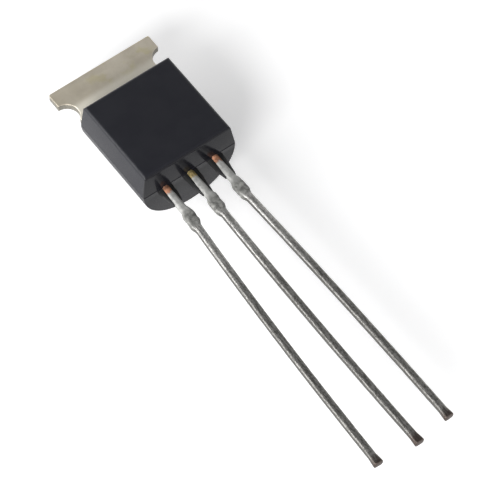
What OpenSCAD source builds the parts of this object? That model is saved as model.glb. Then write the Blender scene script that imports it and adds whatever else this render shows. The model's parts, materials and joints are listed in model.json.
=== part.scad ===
// Tabbed through-hole MOSFET lying on its half-round back, flat front face up.
// Millimetres. X runs across the leads, Y runs from the lead tips to the tab, Z is up.
// Inside the modules Y = 0 is the bottom of the body and Z = 0 is the front of the metal frame.

/* [Body] */
// Width of the moulding at the metal frame, where it is widest
body_w = 4.72; // [4.6:0.01:5.7]
// Width of the flat front face before its edges are rounded
front_w = 4.36; // [3.6:0.01:5.3]
// Height of the moulding from the lead side to the tab side
body_h = 4.64; // [3.8:0.01:5.6]
// Depth from the metal frame to the front face
front_depth = 1.3; // [1.2:0.01:1.6]
// Depth from the metal frame to the crown of the round back
back_depth = 2.2; // [1.9:0.01:2.25]
// Radius of the crown of the back, as a multiple of half the body width
crown_ratio = 1.25; // [1.08:0.001:1.4]
// Lean of the two end faces over the front half
end_draft = 0.08; // [0:0.01:0.2]
// Rounding of the four edges of the front face
front_edge_r = 0.2; // [0.05:0.01:0.3]

/* [Lead wells] */
// Width of the well in front of each lead
well_w = 0.86; // [0.5:0.01:1.0]
// How far each well goes up into the body
well_h = 0.6; // [0.2:0.01:0.7]
// Lip left between the wells and the front face
well_lip = 0.24; // [0.2:0.01:0.5]
// Skin left between the wells and the leads
well_skin = 0.12; // [0.08:0.01:0.3]

/* [Tab] */
// Width of the tab across its two ears
tab_w = 5.22; // [4.8:0.01:6.2]
// Height of the tab above the body
tab_h = 2.08; // [1.7:0.01:2.8]
// Height of each ear, above the round notch
ear_h = 0.75; // [0.3:0.01:1.0]
// Radius of the notch between each ear and the body
notch_r = 0.6; // [0.4:0.01:0.64]
// Width of the tab where it enters the body
neck_w = 4.4; // [3.4:0.01:4.45]
// Rounding of the ear corners
ear_corner_r = 0.1; // [0.02:0.01:0.15]

/* [Leads] */
// Distance between neighbouring leads where they leave the body
lead_pitch = 1.27; // [1.2:0.01:1.5]
// Width of a lead
lead_w = 0.36; // [0.3:0.01:0.46]
// Thickness of the stamped sheet that the tab and the leads are cut from
frame_t = 0.36; // [0.3:0.01:0.46]
// Length of the middle lead below the body
drain_length = 15.8; // [10:0.05:20]
// Length of the two outer leads below the body
outer_length = 15.6; // [10:0.05:20]
// Rounding of the long edges of a lead
lead_edge_r = 0.09; // [0.02:0.01:0.12]
// Outward lean of the gate lead, in degrees
gate_splay = 3.05; // [0:0.05:5]
// Lean of the middle lead towards the gate lead, in degrees
drain_splay = 0.45; // [0:0.05:2]
// Outward lean of the source lead, in degrees
source_splay = 1.15; // [0:0.05:5]
// Distance from the body to the middle of the cut dam-bar stubs
dam_y = 1.88; // [1.5:0.01:2.5]
// Length of the dam-bar stubs along the lead
dam_length = 0.86; // [0.5:0.01:1.2]
// Width of the lead across its dam-bar stubs
dam_w = 0.56; // [0.5:0.01:0.8]
// How far the right stub is nearer to the body than the middle, and the left stub further away
dam_skew = 0.08; // [0:0.01:0.15]
// Length over which a stub rises from the side of the lead
dam_ramp = 0.14; // [0.05:0.01:0.2]
// Width of a lead at its sheared tip
tip_w = 0.44; // [0.36:0.01:0.5]
// Length over which the lead widens to its tip
tip_length = 0.5; // [0.2:0.01:1]

/* [Resin flash] */
// Width of the flash beside a lead where it leaves the body
flash_w = 0.15; // [0.05:0.01:0.2]
// Width of the flash at its far end
flash_end_w = 0.04; // [0.02:0.01:0.1]
// How far the flash follows the gate lead
gate_flash = 0.95; // [0.3:0.01:1.2]
// How far the flash follows the middle lead
drain_flash = 1.35; // [0.3:0.01:1.35]
// How far the flash follows the source lead
source_flash = 1.18; // [0.3:0.01:1.3]

/* [Inside the body] */
// Width of the pad that carries the chip
pad_w = 3.6; // [2:0.01:3.8]
// Bottom of the chip pad, above the bottom of the body
pad_y = 1.75; // [1.7:0.01:2.0]
// Side of the square chip
die_side = 1.5; // [1:0.01:1.9]
// Thickness of the chip
die_t = 0.25; // [0.1:0.01:0.35]
// Thickness of the solder under the chip
solder_t = 0.04; // [0.02:0.01:0.08]
// Thickness of a bond wire
wire_d = 0.13; // [0.06:0.01:0.2]

/* [Hidden] */
$fn = 96;
// Overlap that makes a cut run clear through a face
past = 1;
// The back is an oval of three arcs: a wide crown between two tighter shoulders that leave the frame squarely
half_w = body_w / 2;
crown_r = crown_ratio * half_w;
crown_centre = crown_r - back_depth;
crown_half_angle = 90 - 2 * atan((crown_r - half_w) / crown_centre);
shoulder_r = crown_r - crown_centre / cos(crown_half_angle);
shoulder_x = half_w - shoulder_r;
// Top of the whole part and tip of the middle lead along Y
top_y = body_h + tab_h;
tip_y = -dam_y - (drain_length - dam_y) * cos(drain_splay) - tip_w / 2 * sin(drain_splay);
// Centre of the notches along Y
notch_y = top_y - ear_h - notch_r;
// Bonding pad at the inner end of the gate and source leads, and its gap to the chip pad
bond_pad_w = 0.96;
bond_pad_h = 0.7;
bond_pad_gap = 0.3;
bond_pad_y = pad_y - bond_pad_gap - bond_pad_h;
// How far a lead runs on into the pad it belongs to
lead_overlap = 0.1;
// The neck of the tab narrows to the chip pad this far inside the body
neck_inset = 0.3;
// Chip centre along Y, top of the chip and the rim of solder round it
die_y = pad_y + (body_h - neck_inset - pad_y) / 2;
die_top = solder_t + die_t;
solder_rim = 0.06;
// Where the wires land: inside the chip's lower corners, and near the top of the bonding pads
wire_die_inset = 0.25;
wire_pad_inset = 0.2;
wire_pad_shift = 0.15;
wire_die_x = die_side / 2 - wire_die_inset;
wire_die_y = die_y - die_side / 2 + wire_die_inset;
wire_pad_x = lead_pitch - wire_pad_shift;
wire_pad_y = bond_pad_y + bond_pad_h - wire_pad_inset;
// Flash is thinner than the frame it runs beside, and starts inside the moulding
flash_t = 0.6 * frame_t;
flash_inset = 0.1;

// Names of the sub-parts that the value below can pick.

// Moves a piece from its own coordinates to the frame of the part: bottom at Z = 0, middle length at Y = 0.
module place() {
    translate([0, -(top_y + tip_y) / 2, back_depth]) children();
}

// Cutter that leaves an arc of radius r in place of a sharp corner, touching both of its sides.
module corner_cutter(before, corner, after, r) {
    along_before = (before - corner) / norm(before - corner);
    along_after = (after - corner) / norm(after - corner);
    half_angle = acos(along_before * along_after) / 2;
    middle = (along_before + along_after) / norm(along_before + along_after);
    arc_centre = corner + middle * r / sin(half_angle);
    touch = r / tan(half_angle);
    difference() {
        polygon([corner - middle * r, corner + along_before * touch,
                 arc_centre, corner + along_after * touch]);
        translate(arc_centre) circle(r = r);
    }
}

// Cross-section of the moulding: flat front with leaning sides, round back. Y of the sketch is depth.
module body_section() {
    left_side = [-body_w / 2, 0];
    left_front = [-front_w / 2, front_depth];
    right_front = [front_w / 2, front_depth];
    right_side = [body_w / 2, 0];
    difference() {
        polygon([left_side, left_front, right_front, right_side]);
        corner_cutter(left_side, left_front, right_front, front_edge_r);
        corner_cutter(left_front, right_front, right_side, front_edge_r);
    }
    intersection() {
        union() {
            intersection() {
                translate([0, crown_centre]) circle(r = crown_r, $fn = 192);
                polygon([[0, crown_centre], crown_ray(-1), crown_ray(1)]);
            }
            for (side = [-1, 1]) translate([side * shoulder_x, 0]) circle(r = shoulder_r, $fn = 192);
        }
        translate([-body_w, -back_depth - past]) square([2 * body_w, back_depth + past]);
    }
}

// Point beyond the end of the crown arc, on the line from its centre through its end.
function crown_ray(side) =
    [side * sin(crown_half_angle), -cos(crown_half_angle)] * 2 * crown_r + [0, crown_centre];

// Side view of the moulding: X of the sketch is the height of the body, Y is depth.
module body_profile() {
    low_front = [end_draft, front_depth];
    high_front = [body_h - end_draft, front_depth];
    low_middle = [0, 0];
    high_middle = [body_h, 0];
    difference() {
        polygon([low_middle, low_front, high_front, high_middle,
                 [body_h, -back_depth - past], [0, -back_depth - past]]);
        corner_cutter(low_middle, low_front, high_front, front_edge_r);
        corner_cutter(low_front, high_front, high_middle, front_edge_r);
    }
}

// Moulding before anything is cut out of it.
module body_block() {
    intersection() {
        translate([0, body_h + past, 0]) rotate([90, 0, 0])
            linear_extrude(height = body_h + 2 * past) body_section();
        translate([-body_w, 0, 0]) rotate([90, 0, 90])
            linear_extrude(height = 2 * body_w) body_profile();
    }
}

// Recess in the bottom of the front half, in front of one lead.
module lead_well(x) {
    translate([x - well_w / 2, -past, well_skin])
        cube([well_w, well_h + past, front_depth - well_lip - well_skin]);
}

// Two wedges of resin that crept along the sides of one lead.
module lead_flash(x, reach) {
    translate([x, 0, -(frame_t + flash_t) / 2]) linear_extrude(height = flash_t)
        polygon([[-lead_w / 2 - flash_w, flash_inset], [lead_w / 2 + flash_w, flash_inset],
                 [lead_w / 2 + flash_end_w, -reach], [-lead_w / 2 - flash_end_w, -reach]]);
}

// Outline of one cut dam-bar stub. The side is -1 for the left stub and 1 for the right one.
module dam_stub(side) {
    middle = side * dam_skew - dam_y;
    translate([0, middle]) polygon([[0, dam_length / 2], [side * lead_w / 2, dam_length / 2],
                                    [side * dam_w / 2, dam_length / 2 - dam_ramp],
                                    [side * dam_w / 2, dam_ramp - dam_length / 2],
                                    [side * lead_w / 2, -dam_length / 2], [0, -dam_length / 2]]);
}

// Straight part of a lead from inside the body to the dam bar, with its cut stubs.
module lead_root(x, inner_y) {
    translate([x, 0, -frame_t]) linear_extrude(height = frame_t) union() {
        translate([-lead_w / 2, -dam_y]) square([lead_w, dam_y + inner_y]);
        dam_stub(-1);
        dam_stub(1);
    }
}

// Long free end of a lead. It leans from the middle of the stubs and spreads a little at its sheared tip.
module lead_free_end(x, lean, length) {
    flat = lead_w - 2 * lead_edge_r;
    thick_flat = frame_t - 2 * lead_edge_r;
    free_length = length - dam_y;
    translate([x, -dam_y, -frame_t / 2]) rotate([0, 0, lean]) {
        rotate([90, 0, 0]) linear_extrude(height = free_length) union() {
            square([flat, frame_t], center = true);
            square([lead_w, thick_flat], center = true);
            for (across = [-1, 1], up = [-1, 1])
                translate([across * flat / 2, up * thick_flat / 2]) circle(r = lead_edge_r);
        }
        translate([0, 0, -thick_flat / 2]) linear_extrude(height = thick_flat)
            polygon([[-flat / 2, tip_length - free_length], [-tip_w / 2, -free_length],
                     [tip_w / 2, -free_length], [flat / 2, tip_length - free_length]]);
    }
}

// Outline of the tab, its neck and the chip pad, seen from the front.
module tab_outline() {
    ear_low = notch_y;
    ear_corners = [[-tab_w / 2, ear_low], [-tab_w / 2, top_y], [tab_w / 2, top_y], [tab_w / 2, ear_low]];
    difference() {
        union() {
            polygon(ear_corners);
            translate([-neck_w / 2, body_h - neck_inset]) square([neck_w, notch_y - body_h + neck_inset]);
            translate([-pad_w / 2, pad_y]) square([pad_w, notch_y - pad_y]);
        }
        for (side = [-1, 1]) translate([side * tab_w / 2, notch_y]) circle(r = notch_r);
        corner_cutter(ear_corners[0], ear_corners[1], ear_corners[2], ear_corner_r);
        corner_cutter(ear_corners[1], ear_corners[2], ear_corners[3], ear_corner_r);
    }
}

// Tab, chip pad and middle lead in one piece.
module drain_shape() {
    union() {
        translate([0, 0, -frame_t]) linear_extrude(height = frame_t) tab_outline();
        lead_root(0, pad_y + lead_overlap);
        lead_free_end(0, -drain_splay, drain_length);
    }
}

// Outer lead with its bonding pad. The lean is positive towards +X at the tip.
module outer_lead_shape(x, lean) {
    union() {
        lead_root(x, bond_pad_y + lead_overlap);
        translate([x - bond_pad_w / 2, bond_pad_y, -frame_t]) cube([bond_pad_w, bond_pad_h, frame_t]);
        lead_free_end(x, lean, outer_length);
    }
}

module gate_lead_shape() {
    outer_lead_shape(-lead_pitch, -gate_splay);
}

module source_lead_shape() {
    outer_lead_shape(lead_pitch, source_splay);
}

module die_shape() {
    translate([-die_side / 2, die_y - die_side / 2, solder_t]) cube([die_side, die_side, die_t]);
}

module solder_shape() {
    solder_side = die_side + 2 * solder_rim;
    translate([-solder_side / 2, die_y - solder_side / 2, 0]) cube([solder_side, solder_side, solder_t]);
}

// Loop of wire from the top of the chip to a bonding pad. The side is -1 for the gate and 1 for the source.
// It is two quarter rings that meet at the top of the loop, above their common centre line.
module wire_shape(side) {
    start = [side * wire_die_x, wire_die_y];
    end = [side * wire_pad_x, wire_pad_y];
    span = norm(end - start);
    heading = atan2(end[1] - start[1], end[0] - start[0]);
    rise_r = (span - die_top) / 2;
    fall_r = (span + die_top) / 2;
    translate([start[0], start[1], 0]) rotate([0, 0, heading]) translate([rise_r, 0, 0]) rotate([90, 0, 0])
        union() {
            translate([0, die_top, 0]) rotate([0, 0, 90])
                rotate_extrude(angle = 90) translate([rise_r, 0]) circle(d = wire_d, $fn = 8);
            rotate_extrude(angle = 90) translate([fall_r, 0]) circle(d = wire_d, $fn = 8);
        }
}

// Black epoxy moulding.
module moulded_body() {
    color([0.05, 0.05, 0.06]) place() difference() {
        union() {
            body_block();
            lead_flash(-lead_pitch, gate_flash);
            lead_flash(0, drain_flash);
            lead_flash(lead_pitch, source_flash);
        }
        for (x = [-lead_pitch, 0, lead_pitch]) lead_well(x);
        drain_shape();
        gate_lead_shape();
        source_lead_shape();
        solder_shape();
        die_shape();
        wire_shape(-1);
        wire_shape(1);
    }
}

// Plated copper sheet.
module drain_frame() {
    color([0.66, 0.63, 0.57]) place() drain_shape();
}

// Tinned copper lead on the left.
module gate_lead() {
    color([0.6, 0.6, 0.6]) place() gate_lead_shape();
}

// Tinned copper lead on the right.
module source_lead() {
    color([0.6, 0.6, 0.6]) place() source_lead_shape();
}

// Silicon chip.
module silicon_die() {
    color([0.25, 0.26, 0.3]) place() die_shape();
}

// Solder under the chip.
module die_attach() {
    color([0.5, 0.5, 0.52]) place() solder_shape();
}

// Aluminium wire from the chip to the gate lead.
module gate_bond_wire() {
    color([0.8, 0.8, 0.82]) place() wire_shape(-1);
}

// Aluminium wire from the chip to the source lead.
module source_bond_wire() {
    color([0.8, 0.8, 0.82]) place() wire_shape(1);
}

moulded_body();
drain_frame();
gate_lead();
source_lead();
silicon_die();
die_attach();
gate_bond_wire();
source_bond_wire();
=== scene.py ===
import json
import math

import bmesh
import bpy
from mathutils import Matrix, Vector, noise


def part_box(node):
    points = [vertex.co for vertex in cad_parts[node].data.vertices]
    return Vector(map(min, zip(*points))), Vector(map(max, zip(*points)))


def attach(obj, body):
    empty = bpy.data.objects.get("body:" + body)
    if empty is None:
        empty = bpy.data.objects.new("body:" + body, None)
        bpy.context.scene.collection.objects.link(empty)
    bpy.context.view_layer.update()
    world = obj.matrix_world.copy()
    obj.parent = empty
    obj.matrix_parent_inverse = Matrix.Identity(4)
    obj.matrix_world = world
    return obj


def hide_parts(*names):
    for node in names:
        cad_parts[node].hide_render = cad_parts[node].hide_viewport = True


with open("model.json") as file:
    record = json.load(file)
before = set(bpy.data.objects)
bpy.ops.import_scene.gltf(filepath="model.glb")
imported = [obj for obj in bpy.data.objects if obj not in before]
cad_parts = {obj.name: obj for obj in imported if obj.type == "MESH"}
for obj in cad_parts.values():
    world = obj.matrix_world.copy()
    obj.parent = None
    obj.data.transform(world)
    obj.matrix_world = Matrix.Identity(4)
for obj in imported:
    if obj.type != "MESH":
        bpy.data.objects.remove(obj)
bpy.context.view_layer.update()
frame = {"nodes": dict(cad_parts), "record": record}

# Sizes below are millimetres in the part's drawing: Y = 0 is the bottom of the moulding and
# Z = 0 is the front of the metal frame. The function at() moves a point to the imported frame.
MM = 0.001
BODY_HEIGHT = 4.64
BODY_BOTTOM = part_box("moulded_body")[1].y / MM - BODY_HEIGHT
FRAME_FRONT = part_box("drain_frame")[1].z / MM
FRAME_THICKNESS = FRAME_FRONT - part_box("drain_frame")[0].z / MM
TAB_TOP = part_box("drain_frame")[1].y / MM - BODY_BOTTOM
FRONT_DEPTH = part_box("moulded_body")[1].z / MM - FRAME_FRONT
BACK_DEPTH = FRAME_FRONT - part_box("moulded_body")[0].z / MM
BODY_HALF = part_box("moulded_body")[1].x / MM
FRONT_HALF = 2.18
END_DRAFT = 0.08
CROWN_RATIO = 1.25
FRONT_EDGE_RADIUS = 0.2

LEAD_PITCH = 1.27
LEAD_WIDTH = 0.36
LEAD_EDGE_RADIUS = 0.13
DAM_DISTANCE = 1.88
DAM_LENGTH = 0.86
DAM_WIDTH = 0.56
DAM_SKEW = 0.08
TIP_WIDTH = 0.44


def at(x, y, z):
    """A point of the drawing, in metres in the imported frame."""
    return Vector((x, y + BODY_BOTTOM, z + FRAME_FRONT)) * MM


def smooth(low, high, value):
    """Eases from 0 at low to 1 at high."""
    t = min(max((value - low) / (high - low), 0.0), 1.0)
    return t * t * (3 - 2 * t)


# Geometry helpers

def arc(centre, radius, start_deg, end_deg, steps):
    """Points along a circle, both ends included."""
    points = []
    for i in range(steps + 1):
        angle = math.radians(start_deg + (end_deg - start_deg) * i / steps)
        points.append((centre[0] + radius * math.cos(angle), centre[1] + radius * math.sin(angle)))
    return points


def rounded_corner(before, corner, after, radius, steps=6):
    """Arc that replaces a sharp corner of an outline and touches both of its sides."""
    corner = Vector(corner)
    to_before = (Vector(before) - corner).normalized()
    to_after = (Vector(after) - corner).normalized()
    half_angle = math.acos(to_before.dot(to_after)) / 2
    centre = corner + (to_before + to_after).normalized() * radius / math.sin(half_angle)
    first = corner + to_before * radius / math.tan(half_angle) - centre
    last = corner + to_after * radius / math.tan(half_angle) - centre
    turn = first.angle_signed(last)
    return [tuple(centre + Matrix.Rotation(-turn * i / steps, 2) @ first) for i in range(steps + 1)]


def link(name, mesh):
    made = bpy.data.objects.new(name, mesh)
    bpy.context.scene.collection.objects.link(made)
    return made


def prism(name, outline, place, low, high):
    """Solid between two copies of an outline. place(u, v, w) turns outline and depth into a point."""
    shape = bmesh.new()
    near = [shape.verts.new(place(u, v, low)) for u, v in outline]
    far = [shape.verts.new(place(u, v, high)) for u, v in outline]
    count = len(outline)
    shape.faces.new(near)
    shape.faces.new(reversed(far))
    for i in range(count):
        j = (i + 1) % count
        shape.faces.new((near[j], near[i], far[i], far[j]))
    bmesh.ops.recalc_face_normals(shape, faces=shape.faces)
    mesh = bpy.data.meshes.new(name)
    shape.to_mesh(mesh)
    shape.free()
    return link(name, mesh)


def loft(name, rings):
    """Skin through closed rings of points, with a flat cap at each end."""
    shape = bmesh.new()
    rows = [[shape.verts.new(point) for point in ring] for ring in rings]
    count = len(rings[0])
    for row, after in zip(rows, rows[1:]):
        for i in range(count):
            j = (i + 1) % count
            shape.faces.new((row[i], row[j], after[j], after[i]))
    shape.faces.new(reversed(rows[0]))
    shape.faces.new(rows[-1])
    bmesh.ops.recalc_face_normals(shape, faces=shape.faces)
    mesh = bpy.data.meshes.new(name)
    shape.to_mesh(mesh)
    shape.free()
    return link(name, mesh)


def settle_modifiers(piece):
    """Replaces a piece's mesh by the one that its modifiers make."""
    bpy.context.view_layer.update()
    shaped = piece.evaluated_get(bpy.context.evaluated_depsgraph_get())
    mesh = bpy.data.meshes.new_from_object(shaped)
    piece.modifiers.clear()
    piece.data = mesh


def combine(piece, tool, operation):
    """Boolean of two solids. The tool is used up."""
    step = piece.modifiers.new("combine", "BOOLEAN")
    step.object = tool
    step.operation = operation
    step.solver = "EXACT"
    settle_modifiers(piece)
    bpy.data.objects.remove(tool)


def soften_edges(piece, width, sharper_than_deg=30, segments=3):
    """Rounds every edge that turns by more than the angle."""
    step = piece.modifiers.new("soften", "BEVEL")
    step.width = width * MM
    step.segments = segments
    step.limit_method = "ANGLE"
    step.angle_limit = math.radians(sharper_than_deg)
    step.use_clamp_overlap = True
    settle_modifiers(piece)


def shade(piece, sharper_than_deg=35):
    """Smooth shading that keeps the real edges crisp."""
    for face in piece.data.polygons:
        face.use_smooth = True
    piece.data.set_sharp_from_angle(angle=math.radians(sharper_than_deg))


# Material helpers

def new_material(name):
    material = bpy.data.materials.new(name)
    material.use_nodes = True
    return material, material.node_tree, material.node_tree.nodes["Principled BSDF"]


def node(tree, kind, inputs=None, **settings):
    """Adds a node. Input values that are sockets get linked."""
    made = tree.nodes.new(kind)
    for name, value in settings.items():
        setattr(made, name, value)
    for key, value in (inputs or {}).items():
        feed(tree, made.inputs[key], value)
    return made


def feed(tree, socket, value):
    if isinstance(value, bpy.types.NodeSocket):
        tree.links.new(value, socket)
    else:
        socket.default_value = value


def millimetres(tree):
    """Place on the part, in millimetres."""
    inputs = {0: node(tree, "ShaderNodeTexCoord").outputs["Object"], "Scale": 1 / MM}
    return node(tree, "ShaderNodeVectorMath", inputs, operation="SCALE").outputs["Vector"]


def upward(tree):
    """How far the surface faces up, from -1 to 1."""
    normal = node(tree, "ShaderNodeNewGeometry").outputs["Normal"]
    return node(tree, "ShaderNodeSeparateXYZ", {"Vector": normal}).outputs["Z"]


def stretched(tree, vector, x, y, z):
    inputs = {0: vector, 1: (x, y, z)}
    return node(tree, "ShaderNodeVectorMath", inputs, operation="MULTIPLY").outputs["Vector"]


def grain(tree, vector, scale, detail=3.0, roughness=0.5):
    inputs = {"Vector": vector, "Scale": scale, "Detail": detail, "Roughness": roughness}
    return node(tree, "ShaderNodeTexNoise", inputs).outputs["Fac"]


def spread(tree, value, low, high, out_low=0.0, out_high=1.0):
    """Eases a value from one range to another."""
    inputs = {"Value": value, "From Min": low, "From Max": high, "To Min": out_low, "To Max": out_high}
    return node(tree, "ShaderNodeMapRange", inputs, interpolation_type="SMOOTHSTEP").outputs["Result"]


def mixed(tree, factor, first, second):
    """Colour between two others, by a factor."""
    made = node(tree, "ShaderNodeMix", data_type="RGBA")
    feed(tree, made.inputs[0], factor)
    feed(tree, made.inputs[6], first)
    feed(tree, made.inputs[7], second)
    return made.outputs[2]


def blended(tree, factor, first, second):
    """Value between two others, by a factor."""
    made = node(tree, "ShaderNodeMix", data_type="FLOAT")
    feed(tree, made.inputs[0], factor)
    feed(tree, made.inputs[2], first)
    feed(tree, made.inputs[3], second)
    return made.outputs[0]


def bumped(tree, height, strength, distance):
    inputs = {"Height": height, "Strength": strength, "Distance": distance * MM}
    return node(tree, "ShaderNodeBump", inputs).outputs["Normal"]


def maths(tree, operation, first, second):
    return node(tree, "ShaderNodeMath", {0: first, 1: second}, operation=operation).outputs["Value"]


# Colours of the materials
EPOXY_DARK = (0.0125, 0.013, 0.018, 1)
EPOXY_LIGHT = (0.0155, 0.016, 0.021, 1)
# Darker colour of the lead end face: painted shade.
EPOXY_END_SHADE = (0.008, 0.008, 0.0105, 1)
FLASH_DARK = (0.006, 0.006, 0.007, 1)
FLASH_LIGHT = (0.014, 0.014, 0.014, 1)
PLATING_DARK = (0.63, 0.57, 0.46, 1)
PLATING_LIGHT = (0.78, 0.72, 0.60, 1)
PLATING_STAIN = (0.64, 0.58, 0.33, 1)
PLATING_DULL = (0.48, 0.43, 0.33, 1)
# Painted light: the light that the moulding's top throws onto the tab beside it.
PLATING_PAINTED_GLOW = (0.98, 0.93, 0.80, 1)
# Darker metal for faces that don't face up: partly bare cut metal, partly painted shade.
CUT_METAL_AND_SHADE = (0.24, 0.225, 0.19, 1)
# Dark tin for the sides and undersides of the leads: painted shade.
PAINTED_SHADE_TIN = (0.12, 0.117, 0.108, 1)
BARE_COPPER = (0.62, 0.30, 0.18, 1)
BARE_BRASS = (0.52, 0.40, 0.17, 1)
TIP_STAIN = (0.08, 0.055, 0.045, 1)

# Darker and lighter flecks of the tin on the leads
BRIGHT_TIN = ((0.34, 0.335, 0.32, 1), (0.80, 0.79, 0.76, 1))
DARK_TIN = ((0.15, 0.147, 0.137, 1), (0.42, 0.41, 0.39, 1))
DULL_TIN = ((0.36, 0.36, 0.345, 1), (0.56, 0.56, 0.54, 1))
LUMP_TIN = ((0.15, 0.15, 0.142, 1), (0.34, 0.34, 0.32, 1))

# Distances below the body over which one finish of a lead turns into the next
BARE_TO_DULL = (0.28, 0.40)
DULL_TO_LUMP = (1.3, 1.75)
LUMP_TO_SHINY = (2.15, 2.6)
BRIGHT_TO_DARK = (2.8, 7.5)
SHINY_TO_STAIN = (15.05, 15.6)


# Materials

def epoxy_material():
    """Matte, finely textured moulding compound. The front half of the lead end is smoother.
    The whole lead end face is given a darker colour, which is painted shade.
    """
    material, tree, shader = new_material("black_epoxy")
    place = millimetres(tree)
    axes = node(tree, "ShaderNodeSeparateXYZ", {"Vector": place})
    cloud = grain(tree, place, 0.9, 4.0, 0.6)
    fine = grain(tree, place, 22.0, 3.0, 0.6)
    textured = mixed(tree, spread(tree, cloud, 0.35, 0.7), EPOXY_DARK, EPOXY_LIGHT)
    above_end = maths(tree, "SUBTRACT", axes.outputs["Y"], BODY_BOTTOM)
    off_end = spread(tree, above_end, 0.08, 0.16)
    behind_frame = spread(tree, axes.outputs["Z"], FRAME_FRONT - 0.4, FRAME_FRONT, 1.0, 0.0)
    texture = maths(tree, "MAXIMUM", off_end, behind_frame)
    # The lead end face takes the darker colour: painted shade.
    feed(tree, shader.inputs["Base Color"], mixed(tree, off_end, EPOXY_END_SHADE, textured))
    feed(tree, shader.inputs["Specular IOR Level"], blended(tree, off_end, 0.24, 0.37))
    matte = spread(tree, fine, 0.3, 0.7, 0.34, 0.50)
    smooth_end = spread(tree, fine, 0.3, 0.7, 0.12, 0.20)
    feed(tree, shader.inputs["Roughness"], blended(tree, texture, smooth_end, matte))
    feed(tree, shader.inputs["Normal"], bumped(tree, fine, maths(tree, "MULTIPLY", texture, 0.25), 0.006))
    return material


def flash_material():
    """Rough dark resin, whose strips also stand in for shade beside the leads."""
    material, tree, shader = new_material("resin_flash_and_shade")
    place = millimetres(tree)
    rough = grain(tree, place, 9.0, 4.0, 0.6)
    feed(tree, shader.inputs["Base Color"], mixed(tree, rough, FLASH_DARK, FLASH_LIGHT))
    feed(tree, shader.inputs["Roughness"], spread(tree, rough, 0.3, 0.7, 0.35, 0.6))
    feed(tree, shader.inputs["Normal"], bumped(tree, rough, 0.5, 0.02))
    return material


def tab_material():
    """Dull plating with brush marks and faint yellow stains, duller on the gate side, with a lighter zone
    beside the moulding that is painted light reflected off the moulding, and darker metal on every face
    that doesn't face up: bare metal on the cut sides, partly painted shade, and painted shade on the
    back."""
    material, tree, shader = new_material("plated_tab")
    place = millimetres(tree)
    axes = node(tree, "ShaderNodeSeparateXYZ", {"Vector": place})
    above_body = maths(tree, "SUBTRACT", axes.outputs["Y"], BODY_BOTTOM + BODY_HEIGHT)
    cloud = grain(tree, place, 0.9, 4.0, 0.6)
    brushed = grain(tree, stretched(tree, place, 9.0, 0.6, 9.0), 3.0, 4.0, 0.6)
    stain = grain(tree, place, 1.7, 3.0, 0.5)
    plain = mixed(tree, spread(tree, cloud, 0.3, 0.7), PLATING_DARK, PLATING_LIGHT)
    stained = mixed(tree, spread(tree, stain, 0.55, 0.72, 0.0, 0.55), plain, PLATING_STAIN)
    duller = spread(tree, axes.outputs["X"], -2.6, 2.6, 0.45, 0.0)
    toned = mixed(tree, duller, stained, PLATING_DULL)
    # Lighter colour beside the moulding: painted light, the light reflected off the moulding's top.
    band = spread(tree, above_body, 0.72, 1.15, 0.95, 0.0)
    face = mixed(tree, band, toned, PLATING_PAINTED_GLOW)
    # Every face that doesn't face up, the cut sides and the back, is darker: partly bare cut metal,
    # partly painted shade.
    on_face = spread(tree, upward(tree), 0.1, 0.7)
    feed(tree, shader.inputs["Base Color"], mixed(tree, on_face, CUT_METAL_AND_SHADE, face))
    shader.inputs["Metallic"].default_value = 0.55
    feed(tree, shader.inputs["Roughness"], spread(tree, brushed, 0.3, 0.7, 0.40, 0.55))
    feed(tree, shader.inputs["Normal"], bumped(tree, brushed, 0.12, 0.01))
    return material


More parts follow.
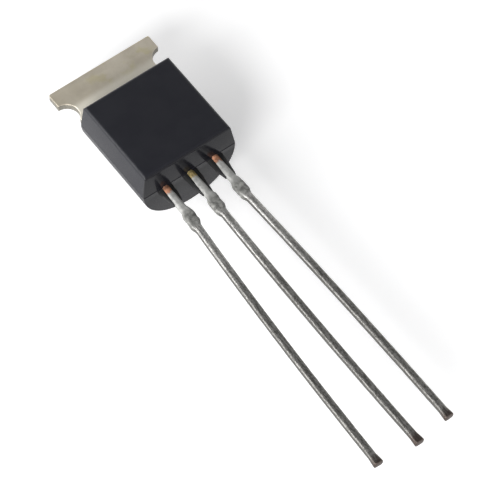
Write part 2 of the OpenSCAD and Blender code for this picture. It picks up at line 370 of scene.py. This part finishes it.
def lead_material(name, bare_colour):
    """Tinned lead: bare metal where it leaves the body, dull tin to the cut dam bar, then shinier tin
    that gets darker towards a stained tip, with painted shade on its sides and undersides."""
    material, tree, shader = new_material(name)
    place = millimetres(tree)
    axes = node(tree, "ShaderNodeSeparateXYZ", {"Vector": place})
    below_body = maths(tree, "SUBTRACT", BODY_BOTTOM, axes.outputs["Y"])
    mottle = grain(tree, place, 5.0, 4.0, 0.6)
    streak = grain(tree, stretched(tree, place, 8.0, 1.0, 8.0), 2.0, 4.0, 0.65)
    ragged = maths(tree, "MULTIPLY", maths(tree, "SUBTRACT", mottle, 0.5), 0.5)
    wander = maths(tree, "ADD", below_body, ragged)
    speckle = grain(tree, stretched(tree, place, 1.0, 0.6, 1.0), 16.0, 3.0, 0.7)
    flecked = maths(tree, "MULTIPLY", maths(tree, "ADD", streak, speckle), 0.5)
    fleck = spread(tree, flecked, 0.4, 0.62)
    bright_tin = mixed(tree, fleck, *BRIGHT_TIN)
    dark_tin = mixed(tree, fleck, *DARK_TIN)
    shiny_top = mixed(tree, spread(tree, wander, *BRIGHT_TO_DARK), bright_tin, dark_tin)
    # Faces that don't face up, the sides and undersides, take a dark tin colour: painted shade.
    shiny_tin = mixed(tree, spread(tree, upward(tree), 0.2, 0.8), PAINTED_SHADE_TIN, shiny_top)
    dull_tin = mixed(tree, spread(tree, mottle, 0.3, 0.7), *DULL_TIN)
    lump_tin = mixed(tree, spread(tree, mottle, 0.35, 0.65), *LUMP_TIN)
    upper_tin = mixed(tree, spread(tree, wander, *DULL_TO_LUMP), dull_tin, lump_tin)
    tin = mixed(tree, spread(tree, wander, *LUMP_TO_SHINY), upper_tin, shiny_tin)
    darker_bare = tuple(c * 0.4 for c in bare_colour[:3]) + (1,)
    bare = mixed(tree, spread(tree, mottle, 0.4, 0.6), bare_colour, darker_bare)
    unstained = mixed(tree, spread(tree, wander, *BARE_TO_DULL), bare, tin)
    colour = mixed(tree, spread(tree, wander, *SHINY_TO_STAIN, 0.0, 0.8), unstained, TIP_STAIN)
    feed(tree, shader.inputs["Base Color"], colour)
    feed(tree, shader.inputs["Metallic"], spread(tree, wander, *LUMP_TO_SHINY, 0.3, 1.0))
    feed(tree, shader.inputs["Roughness"], spread(tree, wander, *LUMP_TO_SHINY, 0.6, 0.45))
    feed(tree, shader.inputs["Normal"], bumped(tree, maths(tree, "ADD", mottle, speckle), 0.6, 0.025))
    return material


def inner_material(name, colour, metallic, roughness):
    """Finish of a piece that is sealed inside the moulding."""
    material, tree, shader = new_material(name)
    fine = grain(tree, millimetres(tree), 12.0)
    darker = tuple(c * 0.8 for c in colour) + (1,)
    feed(tree, shader.inputs["Base Color"], mixed(tree, fine, darker, tuple(colour) + (1,)))
    shader.inputs["Metallic"].default_value = metallic
    feed(tree, shader.inputs["Roughness"], spread(tree, fine, 0.3, 0.7, roughness, roughness + 0.1))
    return material


def finish_piece(piece, material, slot, *nodes):
    """Gives a piece its look and puts it in the place of the named CAD nodes."""
    piece.data.materials.clear()
    piece.data.materials.append(material)
    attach(piece, "root")
    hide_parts(*nodes)


# Moulding

PAST = 1.0
BODY_EDGE_SOFTNESS = 0.045
SEAM_DEPTH = 0.035
SEAM_SLOPE = 0.06
FLASH_THICKNESS = 0.22
FLASH_OVERLAP = 0.03
FLASH_INSIDE = 0.1
FLASH_WOBBLE = 0.03
FLASH_TAPER = 0.7
FLASH_THINNING = 0.4
FLASH_STEPS = 14


def body_section():
    """Cross-section of the moulding: flat front with leaning sides and a back of three arcs."""
    crown = CROWN_RATIO * BODY_HALF
    centre = crown - BACK_DEPTH
    half_deg = 90 - 2 * math.degrees(math.atan((crown - BODY_HALF) / centre))
    shoulder = crown - centre / math.cos(math.radians(half_deg))
    offset = BODY_HALF - shoulder
    left, left_front = (-BODY_HALF, 0), (-FRONT_HALF, FRONT_DEPTH)
    right, right_front = (BODY_HALF, 0), (FRONT_HALF, FRONT_DEPTH)
    back = arc((-offset, 0), shoulder, 180, 270 - half_deg, 18)[:-1]
    back += arc((0, centre), crown, 270 - half_deg, 270 + half_deg, 16)
    back += arc((offset, 0), shoulder, 270 + half_deg, 360, 18)[1:]
    front = rounded_corner(right, right_front, left_front, FRONT_EDGE_RADIUS)
    front += rounded_corner(right_front, left_front, left, FRONT_EDGE_RADIUS)
    return back + front


def body_profile():
    """Side view of the moulding, height against depth, with leaning ends."""
    low, low_front = (0, 0), (END_DRAFT, FRONT_DEPTH)
    high, high_front = (BODY_HEIGHT, 0), (BODY_HEIGHT - END_DRAFT, FRONT_DEPTH)
    below = -2 * BACK_DEPTH
    outline = [(0, below), (BODY_HEIGHT, below), high]
    outline += rounded_corner(high, high_front, low_front, FRONT_EDGE_RADIUS)
    outline += rounded_corner(high_front, low_front, low, FRONT_EDGE_RADIUS)
    return outline + [low]


def cut_seam(body):
    """Fine groove where the two halves of the mould met, all round at the front of the metal frame."""
    for edge, inward in ((-BODY_HALF, SEAM_DEPTH), (BODY_HALF, -SEAM_DEPTH)):
        outline = [(edge - inward, -SEAM_SLOPE), (edge + inward, 0), (edge - inward, SEAM_SLOPE)]
        tool = prism("seam", outline, lambda x, z, y: at(x, y, z), -PAST, BODY_HEIGHT + PAST)
        combine(body, tool, "DIFFERENCE")
    for edge, inward in ((0, SEAM_DEPTH), (BODY_HEIGHT, -SEAM_DEPTH)):
        outline = [(edge - inward, -SEAM_SLOPE), (edge + inward, 0), (edge - inward, SEAM_SLOPE)]
        tool = prism("seam", outline, lambda y, z, x: at(x, y, z), -2 * BODY_HALF, 2 * BODY_HALF)
        combine(body, tool, "DIFFERENCE")


def make_body():
    """Section and side view crossed, with softened edges and the mould's seam."""
    body = prism("body_moulding", body_section(), lambda x, z, y: at(x, y, z), -PAST, BODY_HEIGHT + PAST)
    sides = prism("sides", body_profile(), lambda y, z, x: at(x, y, z), -2 * BODY_HALF, 2 * BODY_HALF)
    combine(body, sides, "INTERSECT")
    soften_edges(body, BODY_EDGE_SOFTNESS)
    cut_seam(body)
    shade(body)
    finish_piece(body, epoxy_material(), "epoxy", "moulded_body")


def make_flash():
    """Thin resin that crept along the sides of the leads, with the strips drawn wider than the resin so
    that they also stand in for the shade beside the leads. Each strip has a length below the body and a
    width where it starts."""
    # Widths are wider than the resin: the extra dark width is painted shade beside the leads.
    strips = {("gate", -1): (0.95, 0.20), ("gate", 1): (0.9, 0.18), ("drain", -1): (1.25, 0.21),
              ("drain", 1): (1.4, 0.19), ("source", -1): (1.12, 0.21), ("source", 1): (1.2, 0.22)}
    lead_numbers = {"gate": -1, "drain": 0, "source": 1}
    side_names = {-1: "left", 1: "right"}
    material = flash_material()
    middle = -FRAME_THICKNESS / 2
    for (lead_name, side), (length, body_width) in strips.items():
        lead = lead_numbers[lead_name]
        inner = lead * LEAD_PITCH + side * (LEAD_WIDTH / 2 - FLASH_OVERLAP)
        rings = []
        for i in range(FLASH_STEPS + 1):
            share = i / FLASH_STEPS
            y = FLASH_INSIDE - (length + FLASH_INSIDE) * share
            wobble = FLASH_WOBBLE * noise.noise(Vector((lead * 7 + side, y * 2.5, 1.7)))
            width = FLASH_OVERLAP + (body_width + wobble) * (1 - FLASH_TAPER * share ** 2)
            half = FLASH_THICKNESS / 2 * (1 - FLASH_THINNING * share)
            outer, thin = width * 0.8, half * 0.7
            profile = [(0, -half), (0, half), (outer, thin), (width, 0), (outer, -thin)]
            rings.append([at(inner + side * u, y, middle + v) for u, v in profile])
        strip = loft("resin_flash_%s_%s" % (lead_name, side_names[side]), rings)
        shade(strip, 60)
        finish_piece(strip, material, "epoxy", "moulded_body")


# Metal frame

TAB_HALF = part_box("drain_frame")[1].x / MM
EAR_HEIGHT = 0.75
NOTCH_RADIUS = 0.6
NECK_HALF = 2.2
EAR_CORNER_RADIUS = 0.1
PAD_HALF = 1.8
PAD_BOTTOM = 1.75
NECK_INSET = 0.3
TAB_EDGE_SOFTNESS = 0.035

BOND_PAD_TOP = 1.45
BOND_PAD_HEIGHT = 0.7
BOND_PAD_HALF = 0.48
BOND_PAD_RAMP = 0.06
PAD_OVERLAP = 0.1
ROOT_NARROWING = 0.02
TIP_LENGTH = 0.5
DAM_RAMP = 0.16
LEAD_ROUGHNESS = 0.008
DAM_ROUGHNESS = 0.06
ROUGHNESS_PER_MM = 4.0

# Rings of a lead are close together at its root and tip and further apart between
FINE_STEP = 0.06
ROOT_RINGS = 48
LONG_RINGS = 60
TIP_RINGS = 12
LONG_START_BELOW_BODY = 2.9
LONG_END_ABOVE_TIP = 0.7


def tab_outline():
    """Tab with a round notch each side, its neck and the chip pad inside the moulding."""
    notch_y = TAB_TOP - EAR_HEIGHT - NOTCH_RADIUS
    reach = TAB_HALF - NECK_HALF
    low_deg = 180 + math.degrees(math.acos(reach / NOTCH_RADIUS))
    notch = arc((TAB_HALF, notch_y), NOTCH_RADIUS, low_deg, 90, 20)
    ear_low = (TAB_HALF, notch_y + NOTCH_RADIUS)
    corner = rounded_corner(ear_low, (TAB_HALF, TAB_TOP), (-TAB_HALF, TAB_TOP), EAR_CORNER_RADIUS)
    shoulder = BODY_HEIGHT - NECK_INSET
    right = [(PAD_HALF, PAD_BOTTOM), (PAD_HALF, shoulder), (NECK_HALF, shoulder)] + notch + corner
    left = [(-x, y) for x, y in reversed(right)]
    return right + left


def make_tab():
    """Flat tab and chip pad."""
    tab = prism("tab_plate", tab_outline(), at, -FRAME_THICKNESS, 0)
    soften_edges(tab, TAB_EDGE_SOFTNESS)
    shade(tab)
    finish_piece(tab, tab_material(), "plated_frame", "drain_frame")


def lead_section(half_left, half_right, half_thick, radius):
    """Rounded rectangle across a lead, with two points along each flat."""
    corners = [(half_right, half_thick, 90, 0), (half_right, -half_thick, 0, -90),
               (-half_left, -half_thick, -90, -180), (-half_left, half_thick, 180, 90)]
    arcs = []
    for x, z, start, end in corners:
        centre = (x - math.copysign(radius, x), z - math.copysign(radius, z))
        arcs.append(arc(centre, radius, start, end, 4))
    points = []
    for here, there in zip(arcs, arcs[1:] + arcs[:1]):
        flat_start = Vector(here[-1])
        flat_end = Vector(there[0])
        points += here
        points += [tuple(flat_start.lerp(flat_end, share)) for share in (1 / 3, 2 / 3)]
    return points


def stub(distance, middle):
    """How far a cut dam-bar stub stands out at a distance below the body, from 0 to 1."""
    start, end = middle - DAM_LENGTH / 2, middle + DAM_LENGTH / 2
    begun = smooth(start - DAM_RAMP, start + DAM_RAMP, distance)
    ended = smooth(end - DAM_RAMP, end + DAM_RAMP, distance)
    return begun * (1 - ended)


def lead_stations(inner_y, has_bond_pad, total):
    """Distances below the body at which a lead has a ring. Those inside the body are negative."""
    pad_end = -inner_y + BOND_PAD_HEIGHT
    stations = [-inner_y]
    if has_bond_pad:
        stations += [pad_end - BOND_PAD_RAMP, pad_end]
    stations += [-0.3, -0.1]
    stations += [FINE_STEP * i for i in range(ROOT_RINGS)]
    long_run = total - LONG_END_ABOVE_TIP - LONG_START_BELOW_BODY
    stations += [LONG_START_BELOW_BODY + long_run * i / LONG_RINGS for i in range(1, LONG_RINGS)]
    stations += [total - FINE_STEP * i for i in reversed(range(TIP_RINGS))]
    return stations


def make_lead(name, node_name, mount_name, root_x, inner_y, pad_half, bow, material):
    """Lead from its inner end to its sheared tip, swept along a slightly bowed line."""
    mount = next(m for m in frame["record"]["mounts"] if m["name"] == mount_name)
    tip = Vector(mount["pos_m"]) / MM - Vector((0, BODY_BOTTOM, FRAME_FRONT))
    dam = Vector((root_x, -DAM_DISTANCE, tip.z))
    heading = (tip - dam).normalized()
    free_length = (tip - dam).length
    total = DAM_DISTANCE + free_length
    pad_end = -inner_y + BOND_PAD_HEIGHT
    rings = []
    for distance in lead_stations(inner_y, pad_half is not None, total):
        if distance <= DAM_DISTANCE:
            centre, along = Vector((root_x, -distance, tip.z)), Vector((0, -1, 0))
        else:
            share = (distance - DAM_DISTANCE) / free_length
            across_tip = Vector((-heading.y, heading.x, 0))
            bowed = bow * 4 * share * (1 - share)
            centre = dam + heading * (distance - DAM_DISTANCE) + across_tip * bowed
            along = heading
        across = Vector((-along.y, along.x, 0))
        flare = (TIP_WIDTH - LEAD_WIDTH) / 2 * smooth(total - TIP_LENGTH, total, distance)
        half = LEAD_WIDTH / 2 - ROOT_NARROWING * (1 - smooth(0.2, 1.0, distance)) + flare
        gain = (DAM_WIDTH - LEAD_WIDTH) / 2
        left = half + gain * stub(distance, DAM_DISTANCE + DAM_SKEW)
        right = half + gain * stub(distance, DAM_DISTANCE - DAM_SKEW)
        if pad_half is not None and distance < pad_end:
            left = right = pad_half
        lump = stub(distance, DAM_DISTANCE)
        rough = (LEAD_ROUGHNESS + DAM_ROUGHNESS * lump) * smooth(0.0, 0.3, distance)
        ring = []
        for u, v in lead_section(left, right, FRAME_THICKNESS / 2, LEAD_EDGE_RADIUS):
            outward = across * u + Vector((0, 0, v))
            point = centre + outward
            push = rough * noise.noise(point * ROUGHNESS_PER_MM)
            point = point + outward.normalized() * min(push, 0.0)
            ring.append(at(*point))
        rings.append(ring)
    lead = loft(name, rings)
    soften_edges(lead, 0.02, 50, 2)
    shade(lead, 50)
    finish_piece(lead, material, "tinned_lead" if pad_half else "plated_frame", node_name)


def make_leads():
    """The two outer leads, with their bonding pads, and the middle one that meets the chip pad."""
    red = lead_material("tinned_lead", BARE_COPPER)
    yellow = lead_material("tinned_frame_lead", BARE_BRASS)
    make_lead("gate_wire_lead", "gate_lead", "gate_lead_tip", root_x=-LEAD_PITCH,
              inner_y=BOND_PAD_TOP, pad_half=BOND_PAD_HALF, bow=-0.10, material=red)
    make_lead("drain_wire_lead", "drain_frame", "drain_lead_tip", root_x=0.0,
              inner_y=PAD_BOTTOM + PAD_OVERLAP, pad_half=None, bow=-0.08, material=yellow)
    make_lead("source_wire_lead", "source_lead", "source_lead_tip", root_x=LEAD_PITCH,
              inner_y=BOND_PAD_TOP, pad_half=BOND_PAD_HALF, bow=0.06, material=red)


def finish_inner_nodes():
    """The sealed pieces keep their CAD shape and get a look of their own."""
    looks = {"silicon_die": inner_material("silicon", (0.12, 0.13, 0.16), 0.4, 0.15),
             "die_attach": inner_material("solder", (0.42, 0.42, 0.43), 1.0, 0.45),
             "gate_bond_wire": inner_material("gate_wire", (0.75, 0.75, 0.77), 1.0, 0.3),
             "source_bond_wire": inner_material("source_wire", (0.75, 0.75, 0.77), 1.0, 0.3)}
    for name, material in looks.items():
        mesh = frame["nodes"][name].data
        mesh.materials.clear()
        mesh.materials.append(material)


# Camera, looking down on the front face from the gate side
CAMERA_TARGET = Vector((-0.217, -0.007, 2.02)) * MM
CAMERA_DISTANCE = 123.49 * MM
CAMERA_AZIMUTH = math.radians(-35.23)
CAMERA_ELEVATION = math.radians(58.88)
CAMERA_ROLL = math.radians(-1.27)
CAMERA_LENS = 215.1

FLOOR_GLOW = 0.36
TENT_LOW = (0.95, 0.95, 0.95, 1)
TENT_OVERHEAD = (0.24, 0.24, 0.245, 1)


def add_camera():
    data = bpy.data.cameras.new("camera")
    data.lens = CAMERA_LENS
    data.sensor_width = 36
    data.sensor_fit = "HORIZONTAL"
    data.clip_start = 0.001
    data.clip_end = 10
    camera = link("camera", data)
    flat = math.cos(CAMERA_ELEVATION)
    to_camera = Vector((math.sin(CAMERA_AZIMUTH) * flat, -math.cos(CAMERA_AZIMUTH) * flat,
                        math.sin(CAMERA_ELEVATION)))
    level = to_camera.to_track_quat("Z", "Y").to_matrix().to_4x4()
    place = Matrix.Translation(CAMERA_TARGET + to_camera * CAMERA_DISTANCE)
    camera.matrix_world = place @ level @ Matrix.Rotation(CAMERA_ROLL, 4, "Z")
    bpy.context.scene.camera = camera


def add_floor():
    """White ground that is seen white and still shows the part's shadow."""
    half = 0.8
    corners = [(-half, -half, 0), (half, -half, 0), (half, half, 0), (-half, half, 0)]
    mesh = bpy.data.meshes.new("floor")
    mesh.from_pydata(corners, [], [(0, 1, 2, 3)])
    floor = link("floor", mesh)
    material, tree, shader = new_material("floor")
    shader.inputs["Base Color"].default_value = (0.93, 0.93, 0.93, 1)
    shader.inputs["Roughness"].default_value = 0.9
    shader.inputs["Emission Color"].default_value = (1, 1, 1, 1)
    ray = node(tree, "ShaderNodeLightPath").outputs
    seen = maths(tree, "MAXIMUM", ray["Is Camera Ray"], ray["Is Glossy Ray"])
    seen = maths(tree, "MAXIMUM", seen, ray["Is Transmission Ray"])
    feed(tree, shader.inputs["Emission Strength"], maths(tree, "MULTIPLY", seen, FLOOR_GLOW))
    mesh.materials.append(material)


def add_area_light(name, place, aim, size, power):
    data = bpy.data.lights.new(name, "AREA")
    data.shape = "DISK"
    data.size = size
    data.energy = power
    light = link(name, data)
    light.location = place
    light.rotation_euler = (Vector(aim) - Vector(place)).to_track_quat("-Z", "Y").to_euler()


def add_light():
    """Light tent: bright all round near the table, dark overhead, with a low key lamp on the front left
    and a weaker lamp behind it that draws the left edges."""
    world = bpy.data.worlds.new("studio")
    bpy.context.scene.world = world
    world.use_nodes = True
    tree = world.node_tree
    direction = node(tree, "ShaderNodeTexCoord").outputs["Generated"]
    height = node(tree, "ShaderNodeSeparateXYZ", {"Vector": direction}).outputs["Z"]
    colour = mixed(tree, spread(tree, height, 0.1, 0.65), TENT_LOW, TENT_OVERHEAD)
    feed(tree, tree.nodes["Background"].inputs["Color"], colour)
    tree.nodes["Background"].inputs["Strength"].default_value = 1.0
    add_area_light("key_lamp", place=(-0.45, -0.27, 0.29), aim=(0, 0, 0), size=0.35, power=3.7)
    add_area_light("edge_lamp", place=(-0.51, 0.25, 0.18), aim=(0, 0, 0), size=0.4, power=1.5)


make_body()
make_flash()
make_tab()
make_leads()
finish_inner_nodes()
add_camera()
add_floor()
add_light()

bpy.context.scene.view_settings.view_transform = "Standard"
